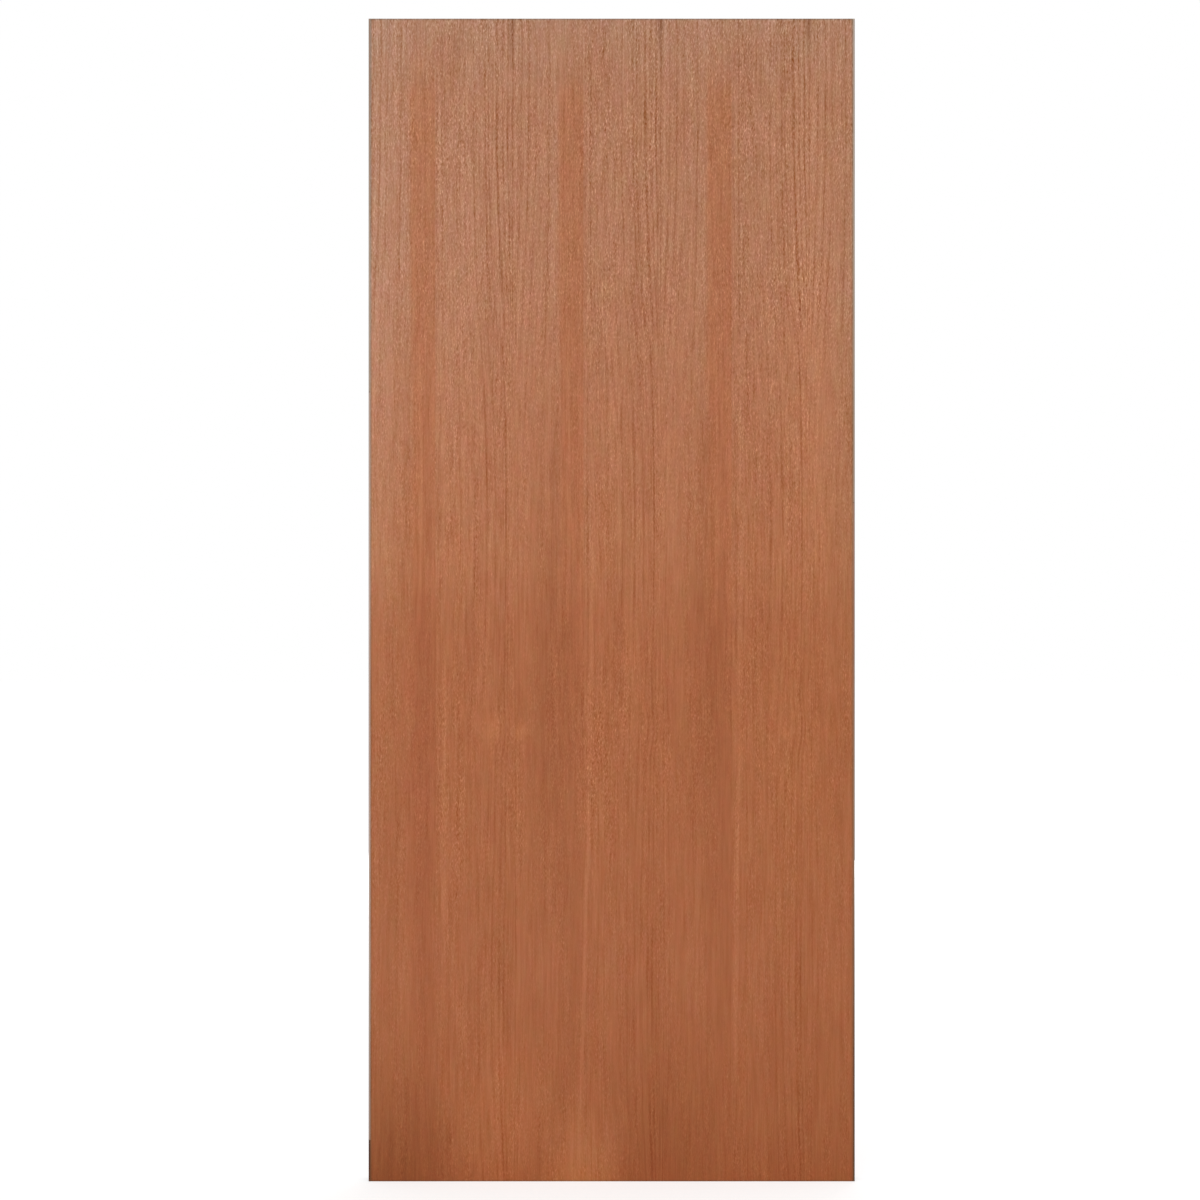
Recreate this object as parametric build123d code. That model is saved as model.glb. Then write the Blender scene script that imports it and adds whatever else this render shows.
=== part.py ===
from build123d import *
import os
from math import ceil

# A flush blockboard door leaf, built up as the real one is: a core of narrow
# softwood staves between two stiles, a crossband and a slip-matched face veneer
# glued over each side, and a finger-jointed lipping glued down each long edge.
# The staves run right through, so their end grain shows at the top and bottom.
#
# Frame, in millimetres: the origin is on the hinge edge, at the foot of the leaf
# and at the middle of its thickness. +X runs across the leaf towards the lock
# edge, +Y towards the back, and +Z up. The front faces -Y.

# The leaf over all
leaf_height = 2040.0
leaf_width = 853.0
leaf_thickness = 40.0

# The skins that are glued over the core
veneer_thickness = 0.6
crossband_thickness = 2.4

# The solid timber between the skins
stile_width = 34.0
widest_stave = 30.0
stave_gap = 0.3  # the staves are laid side by side unglued, with a hairline between

# The sliced veneer: leaves of one width, laid side by side in the order of slicing
veneer_leaf_width = 260.0
front_first_joint = 118.0  # from the hinge edge to the first joint in the front
back_first_joint = 186.0  # the same in the back

# The lippings: thin strips over the long edges, made of finger-jointed lengths
lipping_thickness = 3.0
lipping_arris = 0.8
finger_length = 10.0
widest_finger = 4.0  # the most that one finger and its gap take across the edge
finger_tip = 0.5
hinge_lipping_joints = {"foot": 77.0, "middle": 1390.0}  # the height of each top joint
lock_lipping_joints = {"foot": 239.0, "middle": 1196.0}
last_length = "top"

# Worked out from the sizes above
skin_thickness = veneer_thickness + crossband_thickness
core_thickness = leaf_thickness - 2 * skin_thickness
skin_left = lipping_thickness
skin_right = leaf_width - lipping_thickness
staves_left = skin_left + stile_width
staves_right = skin_right - stile_width
core_front = -core_thickness / 2


def board(left, right, front, thickness):
    """A square-cut board as tall as the leaf, between two places across it."""
    low_corner = (left, front, 0)
    return Pos(*low_corner) * Box(
        right - left, thickness, leaf_height, align=(Align.MIN, Align.MIN, Align.MIN)
    )


def stiles():
    """The solid timber at each side of the core, which takes the hinge and lock screws."""
    return {
        "hinge_stile": board(skin_left, staves_left, core_front, core_thickness),
        "lock_stile": board(staves_right, skin_right, core_front, core_thickness),
    }


def staves():
    """The core strips: as few as keep each one within the widest stave, evenly spread."""
    room = staves_right - staves_left
    count = ceil(room / widest_stave)
    pitch = room / count
    made = {}
    for i in range(count):
        left = staves_left + i * pitch + stave_gap / 2
        right = left + pitch - stave_gap
        made[f"core_stave_{i + 1:02d}"] = board(left, right, core_front, core_thickness)
    return made


def crossbands():
    """The plies under the veneer, whose grain runs across the leaf."""
    return {
        "front_crossband": board(
            skin_left, skin_right, core_front - crossband_thickness, crossband_thickness
        ),
        "back_crossband": board(skin_left, skin_right, -core_front, crossband_thickness),
    }


def veneer_face(side, first_joint, front):
    """One face of veneer leaves, jointed edge to edge from the hinge side."""
    edges = [skin_left]
    joint = first_joint
    while joint < skin_right:
        edges.append(joint)
        joint += veneer_leaf_width
    edges.append(skin_right)
    return {
        f"{side}_veneer_leaf_{i + 1}": board(left, right, front, veneer_thickness)
        for i, (left, right) in enumerate(zip(edges, edges[1:]))
    }


def lipping_strip(outer, inner):
    """A full-height lipping with its two outer corners eased, before it is divided."""
    eased = outer + lipping_arris * (1 if inner > outer else -1)
    half = leaf_thickness / 2
    flat = half - lipping_arris
    outline = Polyline(
        (inner, -half), (eased, -half), (outer, -flat), (outer, flat), (eased, half), (inner, half),
        close=True,
    )
    return extrude(make_face(outline), leaf_height, dir=(0, 0, 1))


def finger_line(height):
    """The zigzag of a finger joint across the edge, as (y, z) points from front to back.

    It is at its lowest at both faces and rises to a finger's tip in the middle of each pitch.
    The tips, and the gaps between them, are cut flat.
    """
    count = ceil(leaf_thickness / widest_finger)
    pitch = leaf_thickness / count
    low, high = height - finger_length / 2, height + finger_length / 2
    front = -leaf_thickness / 2
    points = [(front, low)]
    for i in range(count):
        start = front + i * pitch
        middle, end = start + pitch / 2, start + pitch
        points += [(start + finger_tip / 2, low), (middle - finger_tip / 2, high)]
        points += [(middle + finger_tip / 2, high), (end - finger_tip / 2, low)]
    points.append((-front, low))
    return points


def straight_line(height):
    """A square-cut end of the leaf, as (y, z) points from front to back."""
    half = leaf_thickness / 2
    return [(-half, height), (half, height)]


def lipping(edge, outer, inner, joints):
    """The finger-jointed lengths of one lipping, from the foot up."""
    strip = lipping_strip(outer, inner)
    names = [*joints, last_length]
    ends = [straight_line(0)] + [finger_line(z) for z in joints.values()]
    ends.append(straight_line(leaf_height))
    made = {}
    for name, bottom, top in zip(names, ends, ends[1:]):
        outline = Plane.YZ * Polyline(*bottom, *reversed(top), close=True)
        cutter = Pos(min(outer, inner), 0, 0) * extrude(
            make_face(outline), lipping_thickness, dir=(1, 0, 0)
        )
        made[f"{edge}_lipping_{name}"] = strip & cutter
    return made


def door_leaf():
    """Every piece of the leaf, by name."""
    veneer_front = -leaf_thickness / 2
    veneer_back = -veneer_front - veneer_thickness
    return {
        **stiles(),
        **staves(),
        **crossbands(),
        **veneer_face("front", front_first_joint, veneer_front),
        **veneer_face("back", back_first_joint, veneer_back),
        **lipping("hinge", 0.0, skin_left, hinge_lipping_joints),
        **lipping("lock", leaf_width, skin_right, lock_lipping_joints),
    }


os.makedirs("parts", exist_ok=True)
for name, piece in door_leaf().items():
    export_step(piece, f"parts/{name}.step")
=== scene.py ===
"""The looks of a flush blockboard door leaf, dressed over its CAD frame.

Every piece of the leaf has its shape in the frame, so the work here is timber: slip-matched
veneer on the two faces, finger-jointed lippings down the long edges, and sawn staves and
plies at the two ends. The patterns read the object's own coordinates in millimetres, so all
their sizes are written in millimetres too.
"""

import logging
import math
from dataclasses import dataclass
from enum import Enum

import bpy
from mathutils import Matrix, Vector


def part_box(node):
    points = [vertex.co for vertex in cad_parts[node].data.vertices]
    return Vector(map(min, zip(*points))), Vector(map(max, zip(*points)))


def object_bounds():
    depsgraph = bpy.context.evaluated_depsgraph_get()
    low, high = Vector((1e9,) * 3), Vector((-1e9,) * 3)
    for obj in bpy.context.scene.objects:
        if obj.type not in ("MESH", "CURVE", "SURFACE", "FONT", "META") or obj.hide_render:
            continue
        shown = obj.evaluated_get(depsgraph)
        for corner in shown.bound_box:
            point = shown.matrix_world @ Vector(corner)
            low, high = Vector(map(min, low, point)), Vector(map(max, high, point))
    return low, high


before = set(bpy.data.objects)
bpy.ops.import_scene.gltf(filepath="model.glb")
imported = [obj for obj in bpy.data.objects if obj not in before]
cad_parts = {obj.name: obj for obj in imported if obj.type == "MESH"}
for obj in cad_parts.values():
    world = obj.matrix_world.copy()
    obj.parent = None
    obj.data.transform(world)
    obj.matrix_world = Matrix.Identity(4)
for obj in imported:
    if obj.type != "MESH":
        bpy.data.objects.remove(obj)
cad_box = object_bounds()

log = logging.getLogger("door_leaf")

MM_PER_M = 1000.0
WHITE = (1.0, 1.0, 1.0, 1.0)
SOFT = {"interpolation_type": "SMOOTHSTEP"}
NOISE_AXIS = (0.6, 0.5, 0.62)  # noise is turned round this, so that its rows don't line up
NOISE_TURN = 0.7
NOISE_MIDDLE = 0.5  # a noise gives values from 0 to 1

Socket = bpy.types.NodeSocket
Pair = tuple[float, float]
Triple = tuple[float, float, float]
Profile = tuple[Pair, ...]  # places in millimetres, and the value at each
Tones = tuple[tuple[float, str], ...]  # places, and the colour at each


class Side(Enum):
    """The two faces of the leaf."""

    FRONT = "front"
    BACK = "back"


class Edge(Enum):
    """The two long edges of the leaf."""

    HINGE = "hinge"
    LOCK = "lock"


def linear(hex_colour: str) -> tuple[float, float, float, float]:
    """Turns an sRGB hex colour to the linear values that a shader mixes, by the standard's curve.

    Args:
        hex_colour: Six hex digits, such as "B0795B".

    Returns:
        Linear red, green and blue, and an alpha of one.
    """
    channels = []
    for start in (0, 2, 4):
        value = int(hex_colour[start:start + 2], 16) / 255
        low = value / 12.92
        high = ((value + 0.055) / 1.055) ** 2.4
        channels.append(low if value <= 0.04045 else high)
    return (*channels, 1.0)


def span_mm(node: str) -> tuple[Vector, Vector]:
    """The lowest and highest corner of a CAD node, in millimetres."""
    low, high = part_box(node)
    return low * MM_PER_M, high * MM_PER_M


def wear(node: str, finish: bpy.types.Material) -> None:
    """Gives a CAD node its finish, in place of the plain one that it came with.

    Args:
        node: The node's name.
        finish: The material.
    """
    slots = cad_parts[node].data.materials
    slots.clear()
    slots.append(finish)
    log.info("%s wears %s", node, finish.name)


class Shading:
    """A node tree that is being drawn up."""

    def __init__(self, tree: bpy.types.NodeTree) -> None:
        """Starts it empty.

        Args:
            tree: The tree of a material or a world.
        """
        self.tree = tree
        tree.nodes.clear()

    def node(
        self, kind: str, inputs: tuple | dict = (), output: int | str = 0, tones: Tones = (),
        curve: Profile = (), **settings: object,
    ) -> Socket | None:
        """Adds a node with its settings and links.

        Args:
            kind: Its type without "ShaderNode", such as "Math".
            inputs: A value, or the socket that feeds it, for each input, in order or by name.
            output: The number or name of the output wanted.
            tones: For a colour ramp, the place and hex colour of each stop.
            curve: For a curve, the place and height of each point, from 0 to 1.
            **settings: The node's own properties.

        Returns:
            The output wanted, or None from a node that has none.
        """
        made = self.tree.nodes.new("ShaderNode" + kind)
        for name, value in settings.items():
            setattr(made, name, value)
        for name, value in inputs.items() if isinstance(inputs, dict) else enumerate(inputs):
            if isinstance(value, Socket):
                self.tree.links.new(value, made.inputs[name])
            else:
                made.inputs[name].default_value = value
        for number, (place, colour) in enumerate(tones):
            stops = made.color_ramp.elements
            stop = stops[number] if number < len(stops) else stops.new(1.0)
            stop.position = place
            stop.color = linear(colour)
        for number, point in enumerate(curve):
            points = made.mapping.curves[0].points
            if number < len(points):
                points[number].location = point
            else:
                points.new(*point)
            made.mapping.update()
        return made.outputs[output] if made.outputs else None


class Surface(Shading):
    """A material that is being drawn up, with the place of each point in millimetres."""

    def __init__(self, name: str) -> None:
        """Starts it with the three coordinates.

        Args:
            name: What the real material is.
        """
        self.material = bpy.data.materials.new(name)
        self.material.use_nodes = True
        super().__init__(self.material.node_tree)
        metres = self.node("TexCoord", output="Object")
        place = self.node("VectorMath", {0: metres, "Scale": MM_PER_M}, operation="SCALE")
        self.x, self.y, self.z = self.node("SeparateXYZ", (place,)).node.outputs

    def streaks(
        self, across: Socket, along: Socket, through: Socket | float, wide_mm: float,
        long_mm: float, detail: float = 0.0,
    ) -> Socket:
        """Soft streaks drawn out along the grain.

        Args:
            across: The place across the grain, in millimetres.
            along: The place along the grain, in millimetres.
            through: Which slice this is. Slices less than one apart look alike.
            wide_mm: About half the width of a dark streak and a pale one together.
            long_mm: The same along the grain.
            detail: How many finer layers lie over it.

        Returns:
            Below nought where they are dark and above it where they are pale.
        """
        place = self.node("CombineXYZ", (across, through, along))
        scaled = self.node("VectorMath", (place, (wide_mm, 1.0, long_mm)), operation="DIVIDE")
        turned = self.node(
            "VectorRotate", {"Vector": scaled, "Axis": NOISE_AXIS, "Angle": NOISE_TURN},
        )
        noise = self.node("TexNoise", {"Vector": turned, "Scale": 1.0, "Detail": detail})
        return self.node("Math", (noise, NOISE_MIDDLE), operation="SUBTRACT")

    def clouds(self, across: Socket, along: Socket, size_mm: Pair, detail: float) -> Socket:
        """Three unlike cloudy patterns at once, coarse and fine equally strong.

        Args:
            across: One coordinate, in millimetres.
            along: The other.
            size_mm: The size of the coarsest clouds, in both directions.
            detail: How many finer layers lie over them.

        Returns:
            A vector, with each part below nought or above it.
        """
        place = self.node("CombineXYZ", (across, along))
        scaled = self.node("VectorMath", (place, (*size_mm, 1.0)), operation="DIVIDE")
        noise = self.node(
            "TexNoise", {"Vector": scaled, "Scale": 1.0, "Detail": detail, "Roughness": 1.0},
            output="Color",
        )
        return self.node("VectorMath", (noise, (NOISE_MIDDLE,) * 3), operation="SUBTRACT")

    def stripe(self, place: Socket, middle_mm: float, wide_mm: float, soft_mm: float) -> Socket:
        """A stripe with soft sides.

        Args:
            place: The coordinate that runs across it.
            middle_mm: Where its middle is.
            wide_mm: Its width, to where each side has half faded.
            soft_mm: How wide each side's fade is.

        Returns:
            One along its middle, and nought outside it.
        """
        from_middle = self.node("Math", (place, middle_mm), operation="SUBTRACT")
        distance = self.node("Math", (from_middle,), operation="ABSOLUTE")
        outside, inside = (wide_mm + soft_mm) / 2, (wide_mm - soft_mm) / 2
        return self.node("MapRange", (distance, outside, inside), **SOFT)

    def oval(self, place: Socket, middle: Pair, size: Pair) -> Socket:
        """A soft oval.

        Args:
            place: Two coordinates, in millimetres.
            middle: Its middle, in those two coordinates.
            size: From its middle to where it has quite faded, in both directions.

        Returns:
            One at its middle, and nought outside it.
        """
        from_middle = self.node("VectorMath", (place, (*middle, 0.0)), operation="SUBTRACT")
        scaled = self.node("VectorMath", (from_middle, (*size, 1.0)), operation="DIVIDE")
        distance = self.node("VectorMath", (scaled,), output="Value", operation="LENGTH")
        return self.node("MapRange", (distance, 1.0, 0.0), **SOFT)

    def profile(self, place: Socket, points: Profile) -> Socket:
        """A value that changes smoothly along one coordinate.

        Args:
            place: The coordinate.
            points: Places along it in rising order, and the value at each.

        Returns:
            The value.
        """
        places, values = zip(*points)
        start, end = places[0], places[-1]
        low, high = min(values), max(values)
        length, height = end - start, high - low
        curve = tuple(((at - start) / length, (value - low) / height) for at, value in points)
        along = self.node("MapRange", (place, start, end))
        share = self.node("FloatCurve", {"Value": along}, curve=curve)
        return self.node("MapRange", (share, 0.0, 1.0, low, high))

    def tones(self, place: Socket, tones: Tones) -> Socket:
        """A colour that changes along one coordinate.

        Args:
            place: The coordinate.
            tones: Places along it in rising order, and the colour at each.

        Returns:
            The colour.
        """
        start, end = tones[0][0], tones[-1][0]
        along = self.node("MapRange", (place, start, end))
        stops = tuple(((at - start) / (end - start), colour) for at, colour in tones)
        return self.node("ValToRGB", (along,), tones=stops)

    def tint(self, colour: Socket, amount: Socket, change: Triple | Socket) -> Socket:
        """Turns a colour paler or darker.

        Args:
            colour: The colour before.
            amount: How much of the change it gets, which may be below nought.
            change: What one unit adds to red, green and blue, as a share of each.

        Returns:
            The colour after.
        """
        factor = self.node("VectorMath", (amount, change, WHITE[:3]), operation="MULTIPLY_ADD")
        return self.node("VectorMath", (colour, factor), operation="MULTIPLY")

    def finish(
        self, colour: Socket, roughness: Socket | float, relief: Socket, relief_mm: float,
        specular: float = 0.25,
    ) -> bpy.types.Material:
        """Ends the material with its shader.

        Args:
            colour: Its colour.
            roughness: Its roughness.
            relief: The height of its surface.
            relief_mm: What one unit of relief is worth.
            specular: Half the usual level, because open grain breaks the gloss up.

        Returns:
            The material.
        """
        normal = self.node("Bump", {"Height": relief, "Distance": relief_mm / MM_PER_M})
        shader = self.node("BsdfPrincipled", {
            "Base Color": colour,
            "Roughness": roughness,
            "Specular IOR Level": specular,
            "Normal": normal,
        })
        self.node("OutputMaterial", {"Surface": shader})
        return self.material


@dataclass(frozen=True)
class Streaks:
    """One layer of a figure: streaks of one size."""

    wide_mm: float
    long_mm: float
    strength: float = 1.0
    detail: float = 0.0


@dataclass(frozen=True)
class Line:
    """A growth line, dark or pale, which comes back in every slice."""

    place_mm: float  # from the left edge of the slice, at the head of the leaf
    strength: Triple  # at the foot, in the middle and at the head, below nought where pale
    wide_mm: float = 2.6


@dataclass(frozen=True)
class Ray:
    """A pale or dark line that may lean a little, and fades at both ends."""

    foot_mm: Pair  # across the leaf or the slice, and up it
    head_mm: Pair
    strength: float  # below nought where dark
    wide_mm: float = 6.0


@dataclass(frozen=True)
class Patch:
    """An oval place that is paler or darker than the wood round it: a tone of the wood's own, and
    at the foot of the front face painted shade and painted light.
    """

    middle_mm: Pair  # across the leaf or the slice, and up it
    size_mm: Pair  # from its middle to where it has quite faded
    change: Triple  # what it adds to red, green and blue, as a share of each


@dataclass(frozen=True)
class SlicedVeneer:
    """Red meranti veneer, sliced, slip-matched and sanded.

    What it gives the eye: a warm red-brown, made paler and pinker towards the head by a painted
    sheen of light from above, dark growth lines that close in on each other towards mid-height,
    short pores with painted glints that grow towards the head, and a ruddy band at the right side
    of each slice. The figure comes back after each joint, hardly changed, because the slices are
    from one flitch.
    Pores are really 0.3 mm wide. They are drawn 2 mm wide, so that they show.
    """

    low_mm: Vector  # the corners of the face
    high_mm: Vector
    first_joint_mm: float
    slice_mm: float
    seed: float
    patches: tuple[Patch, ...] = ()
    rays: tuple[Ray, ...] = ()

    # The wood is deep red-brown; it turns paler and pinker towards the head by a painted sheen of
    # light from above
    tones: Tones = (
        (0.0, "9F5428"), (60.0, "A1592F"), (150.0, "A35B31"), (390.0, "A86037"),
        (820.0, "A86035"), (960.0, "A86036"), (1090.0, "AE6940"), (1370.0, "AF6E49"),
        (1650.0, "AF7452"), (1900.0, "AF7655"), (2040.0, "AF7D60"),
    )
    grey_change: Triple = (0.60, 1.02, 1.9)  # a step paler or darker, and no redder
    grey_rise: Triple = (0.05, -0.02, -0.45)  # what that gains from the foot to the head
    grey_span_mm: Pair = (500.0, 1500.0)
    ruddy_change: Triple = (-0.04, -0.20, -0.36)
    bleach_change: Triple = (0.06, 0.18, 0.34)
    blush_change: Triple = (0.20, 0.24, 0.25)

    # The pores stand out more towards the head: open grain, with painted glints of light from above
    # on it
    grain_and_glints: Profile = (
        (0.0, 0.36), (350.0, 0.29), (530.0, 0.34), (690.0, 0.45), (900.0, 0.42), (990.0, 0.37),
        (1150.0, 0.44), (1300.0, 0.54), (1480.0, 0.66), (1590.0, 0.86), (1700.0, 0.74),
        (1840.0, 0.99), (1925.0, 0.78), (2040.0, 1.16),
    )
    figured: Profile = (
        (0.0, 0.76), (350.0, 0.66), (950.0, 0.76), (1150.0, 0.88), (1400.0, 0.95), (2040.0, 1.05),
    )
    zones_mm: Pair = (985.0, 1490.0)  # where the foot ends, and where the head starts
    zone_soft_mm: float = 60.0

    # The deep layers come back in the next slice, and the surface ones don't
    deep: tuple[Streaks, ...] = (
        Streaks(wide_mm=30.0, long_mm=700.0, strength=0.20),
        Streaks(wide_mm=11.0, long_mm=250.0, strength=0.13),
        Streaks(wide_mm=4.5, long_mm=100.0, strength=0.26),
    )
    ribboned: Profile = ((0.0, 1.0), (600.0, 0.95), (1150.0, 0.85), (1500.0, 0.7), (2040.0, 0.7))
    fibres: Streaks = Streaks(wide_mm=2.5, long_mm=50.0, strength=0.46)
    flecks: Streaks = Streaks(wide_mm=1.7, long_mm=5.5, strength=6.0, detail=1.0)
    faint_fleck: float = 0.14  # how much even the faintest stand out
    pale_fleck: float = 0.4  # how much more a pale one stands out than a dark one
    fleck_patch: Streaks = Streaks(wide_mm=20.0, long_mm=210.0, strength=1.5, detail=2.0)
    fleck_patchy: Profile = ((0.0, 1.9), (900.0, 1.7), (1300.0, 1.2), (1500.0, 0.8), (2040.0, 0.7))
    fleck_gather: float = 1.6  # how unlike the crowded patches and the bare ones are
    fleck_level: Profile = (  # across a slice, with smoother wood at its right
        (0.0, 1.12), (50.0, 1.1), (140.0, 1.0), (168.0, 0.88), (205.0, 0.98), (230.0, 0.86),
        (260.0, 0.9),
    )
    lines: tuple[Line, ...] = (
        Line(-6.0, (0.05, 0.16, 0.07)),
        Line(10.0, (0.05, 0.03, 0.10)),
        Line(21.0, (0.07, 0.11, 0.04)),
        Line(31.0, (0.05, 0.14, 0.07)),
        Line(36.5, (0.0, 0.0, 0.08)),
        Line(41.0, (0.0, 0.08, 0.13)),
        Line(50.0, (0.05, 0.15, 0.10)),
        Line(65.0, (0.12, 0.19, 0.20)),
        Line(76.0, (0.11, 0.15, 0.12)),
        Line(85.0, (0.13, 0.04, 0.24)),
        Line(91.0, (0.0, 0.06, 0.20)),
        Line(97.0, (0.19, 0.26, 0.0), wide_mm=4.0),
        Line(101.0, (0.0, 0.0, -0.12)),
        Line(106.0, (0.16, 0.0, 0.34), wide_mm=4.0),
        Line(111.0, (-0.04, 0.0, -0.12)),
        Line(116.0, (0.07, 0.10, 0.22)),
        Line(121.0, (0.0, 0.0, -0.10)),
        Line(125.0, (0.17, 0.0, 0.28), wide_mm=3.0),
        Line(134.0, (0.05, 0.05, 0.26), wide_mm=3.0),
        Line(141.0, (-0.04, 0.0, -0.14)),
        Line(150.0, (0.16, 0.08, 0.22)),
        Line(156.5, (-0.04, -0.04, -0.12)),
        Line(163.0, (0.10, 0.08, 0.24), wide_mm=3.0),
        Line(169.0, (0.0, -0.04, -0.12)),
        Line(175.0, (0.0, 0.07, 0.15)),
        Line(189.0, (0.0, 0.0, -0.10), wide_mm=4.0),
        Line(198.0, (0.05, 0.06, 0.18), wide_mm=3.0),
        Line(209.0, (0.0, 0.06, 0.0), wide_mm=5.0),
        Line(227.0, (0.0, -0.14, 0.0), wide_mm=6.0),
        Line(241.0, (0.02, 0.04, 0.08)),
        Line(255.0, (0.05, 0.0, 0.10)),
    )
    line_soft_mm: float = 2.6
    line_break: Streaks = Streaks(wide_mm=14.0, long_mm=110.0, strength=1.2)

    # One knot lay near, and the lines bend aside for it
    knot_mm: Pair = (119.0, 797.0)
    knot_size_mm: Pair = (38.0, 62.0)
    knot_push_mm: float = -8.0

    slice_change: float = 0.18  # how far apart two neighbouring slices are
    surface_change: float = 7.0  # the same for the surface layers
    sway: Streaks = Streaks(wide_mm=1.0, long_mm=620.0, strength=8.0)
    ripple: Streaks = Streaks(wide_mm=60.0, long_mm=85.0, strength=2.0)

    # The grain closes in on the middle of each slice, so that the lines lean towards it
    pinched_mm: Profile = (  # how far they move, up the leaf
        (0.0, 27.0), (150.0, 20.0), (330.0, 16.0), (480.0, 16.0), (600.0, 18.0), (780.0, 21.0),
        (1080.0, 29.0), (1200.0, 29.0), (1350.0, 25.6), (1990.0, 0.0), (2040.0, 2.0),
    )
    pinch: Profile = (  # the share of it that each gets, across a slice
        (0.0, 0.1), (35.0, 0.3), (65.0, 0.55), (90.0, 0.8), (110.0, 0.95), (125.0, 0.8),
        (135.0, 0.0), (145.0, -0.75), (160.0, -0.8), (175.0, -0.65), (190.0, -0.42),
        (205.0, -0.18), (222.0, 0.1), (260.0, 0.15),
    )

    # What else comes back in every slice, most of it beside the joints
    slice_rays: tuple[Ray, ...] = (
        Ray((6.5, 1450.0), (6.5, 1960.0), strength=0.09, wide_mm=4.0),
        Ray((11.5, 1450.0), (11.5, 1960.0), strength=-0.09, wide_mm=3.0),
        Ray((6.5, 880.0), (6.5, 1420.0), strength=-0.11, wide_mm=4.0),
        Ray((14.0, 1130.0), (14.0, 1420.0), strength=0.08),
        Ray((254.5, 930.0), (254.5, 1420.0), strength=0.09, wide_mm=5.0),
        Ray((218.5, 1700.0), (218.5, 1960.0), strength=0.09, wide_mm=4.0),
        Ray((224.5, 1700.0), (224.5, 1960.0), strength=-0.10, wide_mm=4.0),
    )
    slice_patches: tuple[Patch, ...] = (
        Patch((133.5, 2050.0), (9.0, 130.0), change=(-0.22, -0.3, -0.36)),
        Patch((22.0, 1965.0), (50.0, 120.0), change=(-0.06, -0.14, -0.2)),
        Patch((0.0, 1680.0), (9.0, 420.0), change=(-0.06, -0.15, -0.19)),
        Patch((206.0, 1650.0), (15.0, 430.0), change=(0.02, 0.06, 0.11)),
        Patch((224.0, 1100.0), (14.0, 260.0), change=(0.05, 0.08, 0.09)),
        Patch((38.0, 1150.0), (24.0, 330.0), change=(0.04, 0.05, 0.06)),
        Patch((15.0, 200.0), (14.0, 160.0), change=(0.05, 0.05, 0.05)),
        Patch((236.0, 620.0), (34.0, 620.0), change=(-0.05, -0.075, -0.1)),
        Patch((32.0, 620.0), (42.0, 620.0), change=(0.03, 0.05, 0.06)),
    )

    ruddy_left_mm: Pair = (210.0, 220.0)  # where the ruddy band starts to show, and is full
    ruddy_soft_mm: float = 2.0  # how wide its fade is, beside the joint
    ruddy_at: Profile = (
        (0.0, 0.1), (500.0, 0.12), (950.0, 0.25), (1120.0, 0.45), (1300.0, 0.65), (1500.0, 0.8),
        (1820.0, 0.9), (1940.0, 0.4), (2040.0, 0.05),
    )
    bleached_mm: Pair = (85.0, 8.0)  # where the paler wood at the left edge starts, and is full
    bleached_at: Profile = (
        (0.0, 0.3), (300.0, 0.3), (900.0, 0.45), (1250.0, 1.0), (2040.0, 0.7),
    )
    blush_mm: Pair = (28.0, 60.0)  # the size of the soft clouds of tone
    blush_detail: float = 2.0
    ragged_mm: Triple = (12.0, 40.0, 0.0)  # how far the sides of a patch are pushed about
    ray_soft_mm: float = 220.0  # how long each end fades

    # A painted shade line runs all round the face, along its edges. It is drawn 2 mm wide
    edge_shade_mm: float = 4.0  # half of it falls outside the face
    edge_shade_change: Triple = (-0.38, -0.20, -0.08)

    pore_range: Pair = (-0.2, 0.2)  # from an open pore to the smooth wood between
    roughness: Pair = (0.6, 0.48)
    relief_mm: float = 0.15

    def dress(self) -> bpy.types.Material:
        """Draws the veneer of one face.

        Returns:
            The material, for every slice of that face.
        """
        s = Surface("sliced_red_meranti")
        from_joint = s.node("Math", (s.x, self.first_joint_mm), operation="SUBTRACT")
        across = s.node("Math", (from_joint, self.slice_mm), operation="FLOORED_MODULO")
        start = s.node("Math", (from_joint, across), operation="SUBTRACT")
        grown, slice_at = self.grown(s, across, start)
        pores = self.pores(s, across, start)
        pale = s.node("Math", (self.figure(s, grown, slice_at), pores), operation="ADD")
        pale = s.node("Math", (pale, self.growth_lines(s, grown, slice_at)), operation="SUBTRACT")

        # the tones up the leaf hold a painted sheen, paler towards the head
        colour = s.tones(s.z, self.tones)
        colour = s.tint(colour, self.ruddy_wood(s, across, grown), self.ruddy_change)
        colour = s.tint(colour, self.bleached_edge(s), self.bleach_change)
        clouds = s.clouds(s.x, s.z, self.blush_mm, self.blush_detail)
        colour = s.tint(colour, clouds, self.blush_change)
        for x, rays, patches in (
            (s.x, self.rays, self.patches), (across, self.slice_rays, self.slice_patches),
        ):
            for ray in rays:
                pale = s.node("Math", (pale, self.drawn_ray(s, x, ray)), operation="ADD")
            place = s.node("CombineXYZ", (x, s.z))
            ragged = s.node("VectorMath", (clouds, self.ragged_mm, place), operation="MULTIPLY_ADD")
            for patch in patches:
                oval = s.oval(ragged, patch.middle_mm, patch.size_mm)
                colour = s.tint(colour, oval, patch.change)
        height = s.node("MapRange", (s.z, *self.grey_span_mm))
        grey = s.node(
            "VectorMath", (height, self.grey_rise, self.grey_change), operation="MULTIPLY_ADD",
        )
        colour = s.tint(colour, pale, grey)
        # painted shade along the four edges of the face
        for place, low, high in (
            (s.x, self.low_mm.x, self.high_mm.x), (s.z, self.low_mm.z, self.high_mm.z),
        ):
            for edge in (low, high):
                edge_shade = s.stripe(place, edge, self.edge_shade_mm, self.edge_shade_mm)
                colour = s.tint(colour, edge_shade, self.edge_shade_change)
        roughness = s.node("MapRange", (pores, *self.pore_range, *self.roughness))
        return s.finish(colour, roughness, pores, self.relief_mm)

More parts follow.
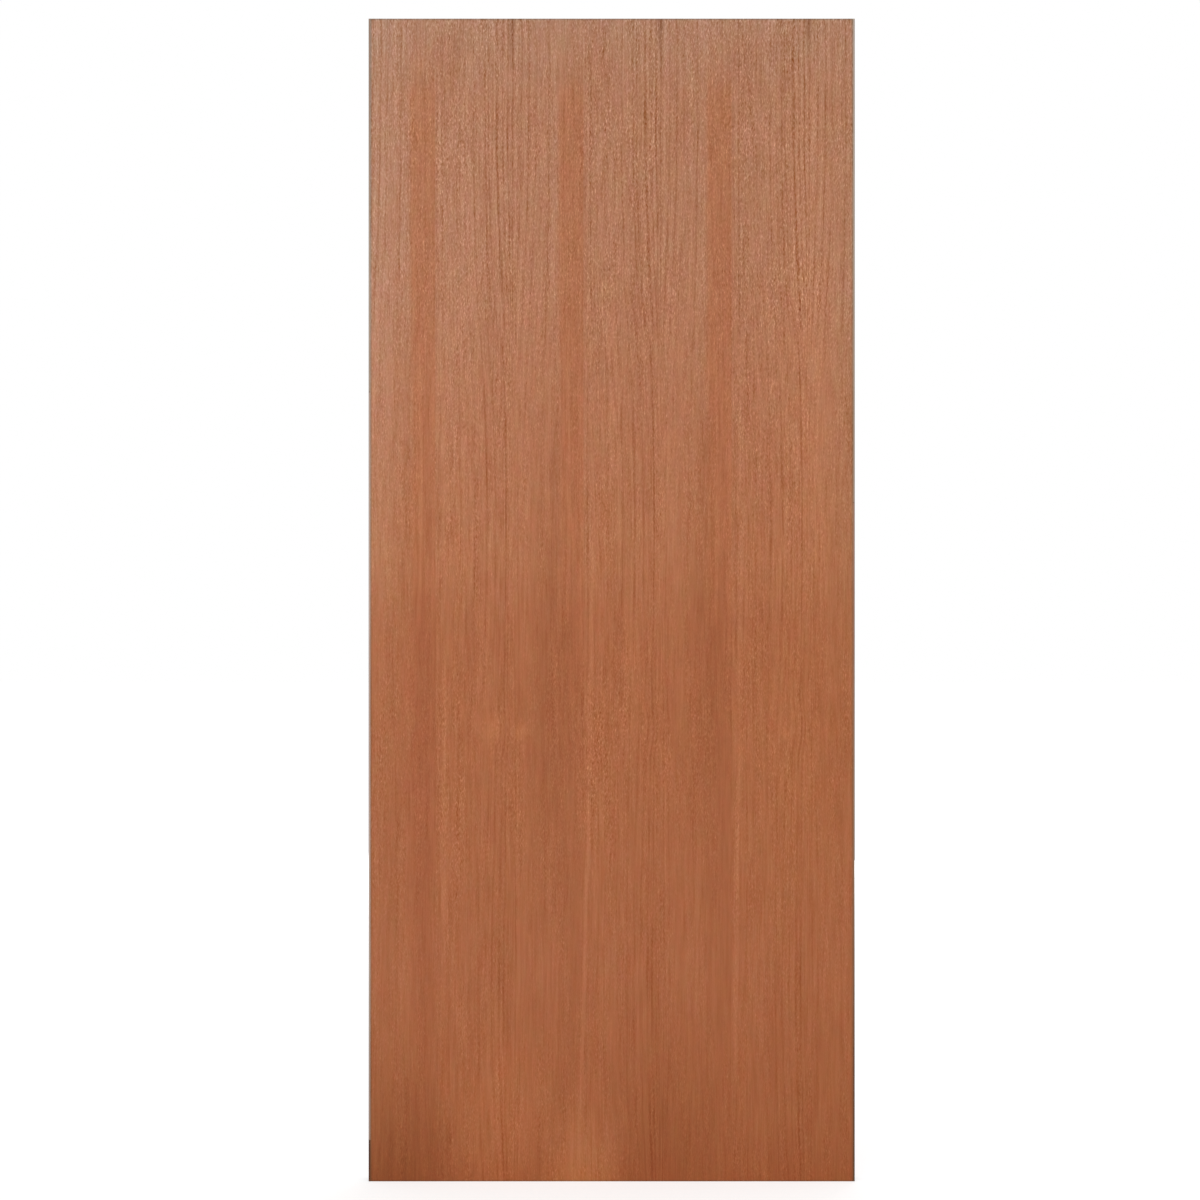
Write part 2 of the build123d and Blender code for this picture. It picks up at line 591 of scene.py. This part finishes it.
    def grown(self, s: Surface, across: Socket, start: Socket) -> tuple[Socket, Socket]:
        """Bends the grain, which closes in on itself, sways slowly and ripples a little.

        Args:
            s: The veneer.
            across: The place from the left edge of the slice.
            start: Where that edge is, from the first joint.

        Returns:
            The place across the grain, and which slice this is.
        """
        per_mm = self.slice_change / self.slice_mm
        slice_at = s.node("Math", (start, per_mm, self.seed), operation="MULTIPLY_ADD")
        sway = s.streaks(slice_at, s.z, self.seed, self.sway.wide_mm, self.sway.long_mm)
        ripple = s.streaks(across, s.z, slice_at, self.ripple.wide_mm, self.ripple.long_mm)
        grown = s.node("Math", (sway, self.sway.strength, across), operation="MULTIPLY_ADD")
        grown = s.node("Math", (ripple, self.ripple.strength, grown), operation="MULTIPLY_ADD")
        pinched = s.profile(s.z, self.pinched_mm)
        pinch = s.profile(across, self.pinch)
        moved = s.node("Math", (pinched, pinch), operation="MULTIPLY")
        grown = s.node("Math", (grown, moved), operation="SUBTRACT")
        knot = s.oval(s.node("CombineXYZ", (across, s.z)), self.knot_mm, self.knot_size_mm)
        return s.node("Math", (knot, self.knot_push_mm, grown), operation="MULTIPLY_ADD"), slice_at

    def figure(self, s: Surface, grown: Socket, slice_at: Socket) -> Socket:
        """The ribbons that come back in every slice.

        Args:
            s: The veneer.
            grown: The place across the grain.
            slice_at: Which slice this is.

        Returns:
            How much paler each point is.
        """
        pale = 0.0
        for layer in self.deep:
            noise = s.streaks(grown, s.z, slice_at, layer.wide_mm, layer.long_mm)
            pale = s.node("Math", (noise, layer.strength, pale), operation="MULTIPLY_ADD")
        return s.node("Math", (pale, s.profile(s.z, self.ribboned)), operation="MULTIPLY")

    def growth_lines(self, s: Surface, grown: Socket, slice_at: Socket) -> Socket:
        """The dark and pale lines that come back in every slice.

        Args:
            s: The veneer.
            grown: The place across the grain.
            slice_at: Which slice this is.

        Returns:
            How much darker each point is.
        """
        half = self.zone_soft_mm / 2
        above_foot, head = (
            s.node("MapRange", (s.z, height - half, height + half), **SOFT)
            for height in self.zones_mm
        )
        foot = s.node("Math", (1.0, above_foot), operation="SUBTRACT")
        middle = s.node("Math", (above_foot, head), operation="SUBTRACT")
        zones = s.node("CombineXYZ", (foot, middle, head))
        dark = 0.0
        for line in self.lines:
            stripe = s.stripe(grown, line.place_mm, line.wide_mm, self.line_soft_mm)
            level = s.node(
                "VectorMath", (zones, line.strength), output="Value", operation="DOT_PRODUCT",
            )
            dark = s.node("Math", (stripe, level, dark), operation="MULTIPLY_ADD")
        layer = self.line_break
        broken = s.streaks(grown, s.z, slice_at, layer.wide_mm, layer.long_mm)
        level = s.node("Math", (broken, layer.strength, 1.0), operation="MULTIPLY_ADD")
        return s.node("Math", (dark, level), operation="MULTIPLY")

    def pores(self, s: Surface, across: Socket, start: Socket) -> Socket:
        """The fibres and open pores, which each slice has in other places, with painted glints on
        the pores that grow towards the head.

        Args:
            s: The veneer.
            across: The place from the left edge of the slice.
            start: Where that edge is.

        Returns:
            How much paler each point is.
        """
        per_mm = self.surface_change / self.slice_mm
        slice_at = s.node("Math", (start, per_mm, self.seed), operation="MULTIPLY_ADD")
        fibres, flecks, patches = (
            s.streaks(across, s.z, slice_at, layer.wide_mm, layer.long_mm, layer.detail)
            for layer in (self.fibres, self.flecks, self.fleck_patch)
        )

        # Most flecks are faint, and a few stand out, more so the pale ones and the crowded ones
        size = s.node("Math", (flecks,), operation="ABSOLUTE")
        size = s.node("Math", (flecks, self.pale_fleck, size), operation="MULTIPLY_ADD")
        contrast = s.node("Math", (size, self.faint_fleck), operation="ADD")
        flecks = s.node("Math", (flecks, contrast), operation="MULTIPLY")
        patches = s.node("Math", (patches, s.profile(s.z, self.fleck_patchy)), operation="MULTIPLY")
        level = s.node("Math", (patches, self.fleck_patch.strength, 1.0), operation="MULTIPLY_ADD")
        level = s.node("Math", (level, self.fleck_gather), operation="POWER")
        flecks = s.node("Math", (flecks, level), operation="MULTIPLY")

        pores = s.node("Math", (flecks, self.flecks.strength), operation="MULTIPLY")
        # open grain, and painted glints that grow towards the head
        pores = s.node("Math", (pores, s.profile(s.z, self.grain_and_glints)), operation="MULTIPLY")
        fibres = s.node("Math", (fibres, self.fibres.strength), operation="MULTIPLY")
        figured = s.profile(s.z, self.figured)
        pores = s.node("Math", (fibres, figured, pores), operation="MULTIPLY_ADD")
        return s.node("Math", (pores, s.profile(across, self.fleck_level)), operation="MULTIPLY")

    def ruddy_wood(self, s: Surface, across: Socket, grown: Socket) -> Socket:
        """The ruddy band that ends at each joint.

        Args:
            s: The veneer.
            across: The place from the left edge of the slice.
            grown: The place across the grain.

        Returns:
            From 0 to 1.
        """
        left = s.node("MapRange", (grown, *self.ruddy_left_mm), **SOFT)
        full_mm = self.slice_mm - self.ruddy_soft_mm
        right = s.node("MapRange", (across, self.slice_mm, full_mm), **SOFT)
        band = s.node("Math", (left, right), operation="MULTIPLY")
        return s.node("Math", (band, s.profile(s.z, self.ruddy_at)), operation="MULTIPLY")

    def bleached_edge(self, s: Surface) -> Socket:
        """The paler, greyer wood down the left edge, strongest above mid-height.

        Args:
            s: The veneer.

        Returns:
            From 0 to 1.
        """
        near = s.node("MapRange", (s.x, *self.bleached_mm), **SOFT)
        return s.node("Math", (near, s.profile(s.z, self.bleached_at)), operation="MULTIPLY")

    def drawn_ray(self, s: Surface, x: Socket, ray: Ray) -> Socket:
        """One pale or dark line.

        Args:
            s: The veneer.
            x: The place across the leaf, or across the slice.
            ray: The line.

        Returns:
            How much paler each point is.
        """
        (foot_x, foot_z), (head_x, head_z) = ray.foot_mm, ray.head_mm
        lean = (head_x - foot_x) / (head_z - foot_z)
        upright = s.node("Math", (s.z, -lean, x), operation="MULTIPLY_ADD")
        stripe = s.stripe(upright, foot_x - lean * foot_z, ray.wide_mm, ray.wide_mm)
        shown = s.stripe(s.z, (foot_z + head_z) / 2, head_z - foot_z, self.ray_soft_mm)
        level = s.node("Math", (shown, ray.strength), operation="MULTIPLY")
        return s.node("Math", (stripe, level), operation="MULTIPLY")


@dataclass(frozen=True)
class RotaryPly:
    """A thick rotary-cut ply of pale hardwood, sawn through with the leaf.

    What it gives the eye: a tan band at each end of the leaf, streaked across the leaf,
    between two dark glue lines.
    """

    glue_lines_mm: Pair  # from the middle of the leaf

    tones: Tones = ((-0.5, "94693F"), (-0.05, "B98F63"), (0.2, "C9A477"), (0.5, "D8B78C"))
    streaks: Streaks = Streaks(wide_mm=0.7, long_mm=60.0, detail=2.0)
    slope: float = 0.4  # how fast the streaks change, up the leaf
    glue_mm: float = 0.25
    glue_change: Triple = (-0.45, -0.5, -0.55)
    roughness: float = 0.7
    relief_mm: float = 0.2

    def dress(self) -> bpy.types.Material:
        """Draws the ply.

        Returns:
            The material.
        """
        s = Surface("rotary_cut_ply")
        through = s.node("Math", (s.z, self.slope), operation="MULTIPLY")
        layer = self.streaks
        streaks = s.streaks(s.y, s.x, through, layer.wide_mm, layer.long_mm, layer.detail)
        colour = s.tones(streaks, self.tones)
        depth = s.node("Math", (s.y,), operation="ABSOLUTE")
        for line in self.glue_lines_mm:
            glue = s.stripe(depth, line, self.glue_mm, self.glue_mm)
            colour = s.tint(colour, glue, self.glue_change)
        return s.finish(colour, self.roughness, streaks, self.relief_mm)


@dataclass(frozen=True)
class SawnSoftwood:
    """Fast-grown pine, sawn to staves and cut through at both ends of the leaf.

    What it gives the eye: pale end grain whose growth rings curve another way in each stave,
    with no two staves quite of one tone, and faint marks of the saw across them.
    """

    first_stave_mm: float
    pitch_mm: float
    staves: int
    half_core_mm: float

    ring_mm: Pair = (2.2, 4.6)  # the closest and the widest growth rings
    pith_mm: Triple = (150.0, 260.0, 0.0)  # how far apart the piths of the staves may lie
    wobble: Streaks = Streaks(wide_mm=30.0, long_mm=400.0, strength=9.0, detail=1.0)
    rings: Tones = (  # through one ring
        (0.0, "E2C79B"), (0.5, "DDBE8E"), (0.78, "C99F66"), (0.92, "A8753F"), (1.0, "D3B07B"),
    )
    saw_marks: Streaks = Streaks(wide_mm=0.9, long_mm=45.0, detail=1.0)
    tone_change: Triple = (0.16, 0.24, 0.34)
    saw_change: Triple = (0.16, 0.18, 0.2)
    glue_mm: float = 0.5
    glue_change: Triple = (-0.4, -0.45, -0.5)
    roughness: float = 0.78
    relief_mm: float = 0.2

    def dress(self) -> bpy.types.Material:
        """Draws the staves and stiles.

        Returns:
            The material, for all of them.
        """
        s = Surface("sawn_pine")
        from_first = s.node("Math", (s.x, self.first_stave_mm), operation="SUBTRACT")
        pitches = s.node("Math", (from_first, self.pitch_mm), operation="DIVIDE")
        whole = s.node("Math", (pitches,), operation="FLOOR")
        number = s.node("Clamp", (whole, -1.0, self.staves))  # a stile is one piece too
        chance = s.node("TexWhiteNoise", {"W": number}, output="Color", noise_dimensions="1D")
        centred = s.node("VectorMath", (chance, (NOISE_MIDDLE,) * 3), operation="SUBTRACT")
        tone = s.node("SeparateXYZ", (centred,), output="Z")

        ring = self.ring_number(s, number, centred, tone)
        colour = s.tones(s.node("Math", (ring,), operation="FRACT"), self.rings)
        layer = self.saw_marks
        marks = s.streaks(s.x, s.y, s.z, layer.wide_mm, layer.long_mm, layer.detail)
        colour = s.tint(colour, tone, self.tone_change)
        colour = s.tint(colour, marks, self.saw_change)
        depth = s.node("Math", (s.y,), operation="ABSOLUTE")
        glue = s.stripe(depth, self.half_core_mm, self.glue_mm, self.glue_mm)
        colour = s.tint(colour, glue, self.glue_change)
        return s.finish(colour, self.roughness, marks, self.relief_mm)

    def ring_number(self, s: Surface, number: Socket, chance: Socket, tone: Socket) -> Socket:
        """Counts the growth rings, which run round a pith of its own for each stave.

        Args:
            s: The pine.
            number: Which stave this is.
            chance: Three random values for that stave.
            tone: One of them, which also says how close its rings are.

        Returns:
            How many rings each point is from the pith.
        """
        middle = s.node("Math", (number, 0.5), operation="ADD")  # half a stave on from its side
        middle = s.node(
            "Math", (middle, self.pitch_mm, self.first_stave_mm), operation="MULTIPLY_ADD",
        )
        centre = s.node("CombineXYZ", (middle,))
        pith = s.node("VectorMath", (chance, self.pith_mm, centre), operation="MULTIPLY_ADD")
        place = s.node("CombineXYZ", (s.x, s.y))
        from_pith = s.node("VectorMath", (place, pith), operation="SUBTRACT")
        radius = s.node("VectorMath", (from_pith,), output="Value", operation="LENGTH")
        layer = self.wobble
        wobble = s.streaks(s.x, s.z, number, layer.wide_mm, layer.long_mm, layer.detail)
        radius = s.node("Math", (wobble, layer.strength, radius), operation="MULTIPLY_ADD")
        spacing = s.node("MapRange", (tone, -NOISE_MIDDLE, NOISE_MIDDLE, *self.ring_mm))
        return s.node("Math", (radius, spacing), operation="DIVIDE")


@dataclass(frozen=True)
class PlanedLipping:
    """A thin strip of planed hardwood, left raw, in finger-jointed lengths.

    What it gives the eye: plain greyish timber beside the red veneer, each length of another
    tone, with fine straight grain and a dark zigzag of glue at each joint.
    """

    name: str
    tones: Tones  # up the leaf
    joints_mm: tuple[float, ...]
    finger_mm: float
    outer_mm: float  # where its outer face is, across the leaf
    half_leaf_mm: float
    seed: float

    coarse: Streaks = Streaks(wide_mm=4.2, long_mm=420.0, strength=0.45)
    fine: Streaks = Streaks(wide_mm=1.3, long_mm=60.0, strength=0.4, detail=1.0)
    change: Triple = (0.8, 1.0, 1.15)

    pitch_mm: float = 4.0  # one finger and its gap, as they are cut
    tip_mm: float = 0.5
    glue_mm: float = 1.5  # up the slope of a finger, so about 0.2 mm through
    glue_soft_mm: float = 0.8
    glue_change: Triple = (-0.55, -0.6, -0.62)
    arris_shade_mm: Pair = (1.5, 0.8)  # where the painted shade on the eased corner starts, and is darkest
    arris_shade_change: Triple = (-0.3, -0.34, -0.38)
    roughness: float = 0.62
    relief_mm: float = 0.12

    def dress(self) -> bpy.types.Material:
        """Draws one length.

        Returns:
            The material.
        """
        s = Surface(self.name)
        colour = s.tones(s.z, self.tones)
        across = s.node("Math", (s.x, s.y), operation="ADD")
        coarse, fine = (
            s.streaks(across, s.z, self.seed, layer.wide_mm, layer.long_mm, layer.detail)
            for layer in (self.coarse, self.fine)
        )
        pale = s.node("Math", (fine, self.fine.strength), operation="MULTIPLY")
        pale = s.node("Math", (coarse, self.coarse.strength, pale), operation="MULTIPLY_ADD")
        colour = s.tint(colour, pale, self.change)
        # painted shade on the eased corners
        colour = s.tint(colour, self.arris_shade(s), self.arris_shade_change)
        fingers = self.fingers(s)
        for joint in self.joints_mm:
            line = s.node("Math", (fingers, joint), operation="ADD")
            above = s.node("Math", (s.z, line), operation="SUBTRACT")
            glue = s.stripe(above, 0.0, self.glue_mm, self.glue_soft_mm)
            colour = s.tint(colour, glue, self.glue_change)
        return s.finish(colour, self.roughness, fine, self.relief_mm)

    def arris_shade(self, s: Surface) -> Socket:
        """The painted shade on the two eased corners.

        Args:
            s: The lipping.

        Returns:
            One on the eased corners, and nought beside them.
        """
        depth = s.node("Math", (s.y,), operation="ABSOLUTE")
        from_face = s.node("Math", (self.half_leaf_mm, depth), operation="SUBTRACT")
        from_outer = s.node("Math", (s.x, self.outer_mm), operation="SUBTRACT")
        inwards = s.node("Math", (from_outer,), operation="ABSOLUTE")
        from_corner = s.node("Math", (from_face, inwards), operation="ADD")
        return s.node("MapRange", (from_corner, *self.arris_shade_mm), **SOFT)

    def fingers(self, s: Surface) -> Socket:
        """How far above or below its middle a finger joint runs, across the edge.

        Args:
            s: The lipping.

        Returns:
            The height in millimetres.
        """
        from_face = s.node("Math", (s.y, self.half_leaf_mm), operation="ADD")
        half_pitch = self.pitch_mm / 2
        zigzag = s.node("Math", (from_face, half_pitch), operation="PINGPONG")
        rise = (self.tip_mm / 2, half_pitch - self.tip_mm / 2)
        return s.node("MapRange", (zigzag, *rise, -self.finger_mm / 2, self.finger_mm / 2))


@dataclass(frozen=True)
class StudioPaper:
    """Matt white background paper, which keeps a soft shadow.

    What it gives the eye: plain white around the leaf, a shade greyer in its shadow, and a little
    greyer near where the leaf stands by a painted shade.
    """

    seen: Pair = (0.7, 0.63)  # how white it glows before light falls on it, far off and at the leaf; the dimmer glow at the leaf is a painted shade round its foot
    foot_mm: Pair = (0.0, 0.0)  # where the leaf stands
    reach_mm: Pair = (3000.0, 3000.0)  # from there to what counts as far off
    pale: str = "C8C8C8"  # as the camera sees it
    plain: str = "D0D0D0"  # as it throws light back on the leaf

    def dress(self) -> bpy.types.Material:
        """Draws the paper.

        Returns:
            The material.
        """
        s = Surface("matt_white_paper")
        lit = s.node("BsdfDiffuse", {"Color": linear(self.pale)})
        near = s.oval(s.node("CombineXYZ", (s.x, s.y)), self.foot_mm, self.reach_mm)
        # less glow near the leaf's foot: a painted shade round it
        seen = s.node("MapRange", (near, 0.0, 1.0, *self.seen))
        glow = s.node("Emission", {"Color": WHITE, "Strength": seen})
        shown = s.node("AddShader", (lit, glow))
        plain = s.node("BsdfDiffuse", {"Color": linear(self.plain)})
        surface = s.node("MixShader", (seen_directly(s), plain, shown))
        s.node("OutputMaterial", {"Surface": surface})
        return s.material


def seen_directly(s: Shading) -> Socket:
    """Tells rays that show the background from rays that only carry its light.

    Args:
        s: The paper or the world.

    Returns:
        One for a camera ray, a reflection or a view through glass, and otherwise nought.
    """
    path = s.node("LightPath").node.outputs
    shown = s.node("Math", (path["Is Camera Ray"], path["Is Glossy Ray"]), operation="MAXIMUM")
    return s.node("Math", (shown, path["Is Transmission Ray"]), operation="MAXIMUM")


@dataclass
class VeneeredFace:
    """The slices of veneer on one face, from the hinge edge to the lock edge."""

    side: Side
    seed: float
    patches: tuple[Patch, ...] = ()
    rays: tuple[Ray, ...] = ()

    def dress(self) -> None:
        """Gives all the slices of the face one flitch, matched from joint to joint."""
        prefix = self.side.value + "_veneer"
        names = sorted(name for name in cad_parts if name.startswith(prefix))
        first, second, *_, last = (span_mm(name) for name in names)  # the second is a whole slice
        finish = SlicedVeneer(
            low_mm=first[0], high_mm=last[1], first_joint_mm=second[0].x,
            slice_mm=second[1].x - second[0].x, seed=self.seed, patches=self.patches,
            rays=self.rays,
        ).dress()
        for name in names:
            wear(name, finish)


@dataclass
class Core:
    """The staves and stiles, and the crossband glued over each side of them."""

    def dress(self) -> None:
        """Dresses the core and the crossbands."""
        names = sorted(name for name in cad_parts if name.startswith("core_stave"))
        first, second = (span_mm(name)[0].x for name in names[:2])
        ply_inner, ply_outer = (corner.y for corner in span_mm("back_crossband"))
        pine = SawnSoftwood(first, second - first, len(names), ply_inner).dress()
        ply = RotaryPly((ply_inner, ply_outer)).dress()
        for name in sorted(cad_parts):
            if "stave" in name or "stile" in name:
                wear(name, pine)
            if "crossband" in name:
                wear(name, ply)


@dataclass
class Lipping:
    """The finger-jointed lengths down one long edge."""

    edge: Edge
    tones: dict[str, Tones]  # by length, from the foot up
    seed: float

    def dress(self) -> None:
        """Gives each length its own tone."""
        names = [f"{self.edge.value}_lipping_{length}" for length in self.tones]
        spans = [span_mm(name) for name in names]
        fingers = [(above[0].z, below[1].z) for below, above in zip(spans, spans[1:])]
        joints = tuple((low + high) / 2 for low, high in fingers)
        finger_mm = fingers[0][1] - fingers[0][0]
        outer = {Edge.HINGE: cad_box[0].x, Edge.LOCK: cad_box[1].x}[self.edge] * MM_PER_M
        for number, (name, tones) in enumerate(zip(names, self.tones.values())):
            finish = PlanedLipping(
                name="raw_" + name, tones=tones, joints_mm=joints, finger_mm=finger_mm,
                outer_mm=outer, half_leaf_mm=spans[0][1].y, seed=self.seed + number,
            )
            wear(name, finish.dress())


@dataclass
class Studio:
    """A pale floor, soft even light from before and behind, and the photograph's camera."""

    frame_width: float = 2.1054  # what the picture takes in at the front of the leaf, in metres
    lens_mm: float = 85.0
    sensor_mm: float = 36.0
    leaf_off_centre: float = 0.0205  # how far right of the picture's middle the leaf stands

    floor_size: float = 60.0
    world_strength: float = 0.55
    lamp_size: float = 4.0
    lamp_watts: float = 210.0
    lamp_place: Triple = (-1.2, -6.0, 0.3)  # from the middle of the leaf

    def build(self) -> None:
        """Makes the floor, the world, the lamps and the camera."""
        self.lay_floor()
        self.light_world()
        left, front, up = self.lamp_place
        self.hang_lamp("front_lamp", Vector((left, front, up)))
        self.hang_lamp("back_lamp", Vector((-left, -front, up)))
        self.set_camera()

    def middle(self) -> Vector:
        """The middle of the leaf."""
        return (cad_box[0] + cad_box[1]) / 2

    def lay_floor(self) -> None:
        """Makes the floor that the leaf stands on."""
        bpy.ops.object.select_all(action="DESELECT")
        bpy.ops.mesh.primitive_plane_add(size=self.floor_size)
        floor = bpy.context.active_object
        floor.name = "floor"
        floor.data.materials.append(StudioPaper().dress())
        log.info("laid the floor")

    def light_world(self) -> None:
        """Makes the world white to look at, and gentler as a light."""
        world = bpy.data.worlds.new("white_room")
        bpy.context.scene.world = world
        world.use_nodes = True
        s = Shading(world.node_tree)
        strength = s.node("MapRange", (seen_directly(s), 0.0, 1.0, self.world_strength, 1.0))
        background = s.node("Background", {"Color": WHITE, "Strength": strength})
        s.node("OutputWorld", {"Surface": background})

    def hang_lamp(self, name: str, place: Vector) -> None:
        """Hangs a soft lamp that points at the middle of the leaf.

        Args:
            name: Its name.
            place: Where it is, from the middle of the leaf.
        """
        light = bpy.data.lights.new(name, "AREA")
        light.shape = "SQUARE"
        light.size = self.lamp_size
        light.energy = self.lamp_watts
        lamp = bpy.data.objects.new(name, light)
        lamp.location = self.middle() + place
        lamp.rotation_euler = place.to_track_quat("Z", "Y").to_euler()
        bpy.context.scene.collection.objects.link(lamp)

    def set_camera(self) -> None:
        """Sets the camera straight in front of the leaf, at mid-height."""
        data = bpy.data.cameras.new("camera")
        data.lens = self.lens_mm
        data.sensor_width = self.sensor_mm
        distance = self.frame_width * self.lens_mm / self.sensor_mm
        camera = bpy.data.objects.new("camera", data)
        middle = self.middle()
        camera.location = (middle.x - self.leaf_off_centre, cad_box[0].y - distance, middle.z)
        camera.rotation_euler = (math.radians(90), 0, 0)
        bpy.context.scene.collection.objects.link(camera)
        bpy.context.scene.camera = camera


# Paler or darker wood where the photograph shows it, and at the foot painted shade and painted
# light
FRONT_PATCHES_AND_FOOT_SHADING = (
    Patch((130.0, 1560.0), (190.0, 620.0), change=(0.05, 0.10, 0.17)),
    Patch((320.0, 850.0), (60.0, 640.0), change=(-0.11, -0.16, -0.24)),
    Patch((598.0, 900.0), (60.0, 600.0), change=(-0.09, -0.13, -0.21)),
    Patch((765.0, 1500.0), (90.0, 700.0), change=(0.09, 0.12, 0.13)),
    Patch((750.0, 720.0), (90.0, 500.0), change=(0.05, 0.09, 0.08)),
    Patch((40.0, 620.0), (40.0, 420.0), change=(-0.04, -0.06, -0.10)),
    Patch((461.0, 923.0), (26.0, 80.0), change=(0.07, 0.10, 0.13)),
    Patch((215.0, 797.0), (34.0, 36.0), change=(0.12, 0.16, 0.2)),
    Patch((267.0, 792.0), (25.0, 20.0), change=(0.12, 0.16, 0.2)),
    Patch((740.0, 784.0), (22.0, 20.0), change=(0.08, 0.11, 0.14)),
    Patch((779.0, 801.0), (15.0, 16.0), change=(0.08, 0.11, 0.14)),
    Patch((803.0, 785.0), (13.0, 12.0), change=(0.08, 0.11, 0.14)),
    Patch((93.0, 700.0), (45.0, 600.0), change=(-0.03, -0.10, -0.12)),
    # painted shade in the lower left corner of the foot
    Patch((45.0, -30.0), (170.0, 300.0), change=(-0.27, -0.36, -0.62)),
    Patch((230.0, 110.0), (130.0, 260.0), change=(0.16, 0.22, 0.3)),
    # painted light across the middle of the foot
    Patch((375.0, -40.0), (90.0, 250.0), change=(0.34, 0.66, 1.0)),
    Patch((530.0, 70.0), (110.0, 240.0), change=(-0.10, -0.15, -0.26)),
    Patch((846.0, 1250.0), (60.0, 750.0), change=(0.0, 0.10, 0.16)),
)
FRONT_RAYS = (
    Ray((130.0, 330.0), (136.0, 1100.0), strength=0.18),
    Ray((367.5, 20.0), (385.5, 600.0), strength=0.21),
    Ray((385.5, 600.0), (395.0, 1150.0), strength=0.21),
    Ray((641.5, 150.0), (655.0, 1150.0), strength=0.21),
)

# The tones of each length of lipping, up the leaf
HINGE_TONES = {
    "foot": ((0.0, "5E341C"), (45.0, "4A2612"), (77.0, "4C2B18")),
    "middle": (
        (77.0, "A79081"), (140.0, "AD978A"), (320.0, "B7A597"), (670.0, "C4A99D"),
        (1390.0, "B39A8B"),
    ),
    "top": ((1390.0, "AD9988"), (1640.0, "B09A88"), (2040.0, "9E8472")),
}
LOCK_TONES = {
    "foot": ((0.0, "603C20"), (239.0, "6F4630")),
    "middle": (
        (239.0, "7C543A"), (320.0, "82593F"), (670.0, "916C51"), (1020.0, "A0735C"),
        (1196.0, "A27A64"),
    ),
    "top": ((1196.0, "A28670"), (1640.0, "AB9581"), (2040.0, "B4A091")),
}


def main() -> None:
    """Builds the studio and dresses each sub-assembly of the leaf."""
    logging.basicConfig(level=logging.INFO, format="%(name)s: %(message)s")
    bpy.context.scene.view_settings.view_transform = "Standard"
    Studio().build()
    VeneeredFace(Side.FRONT, seed=3.0, patches=FRONT_PATCHES_AND_FOOT_SHADING, rays=FRONT_RAYS).dress()
    VeneeredFace(Side.BACK, seed=11.0).dress()
    Core().dress()
    Lipping(Edge.HINGE, HINGE_TONES, seed=20.0).dress()
    Lipping(Edge.LOCK, LOCK_TONES, seed=30.0).dress()


if __name__ == "__main__":
    main()
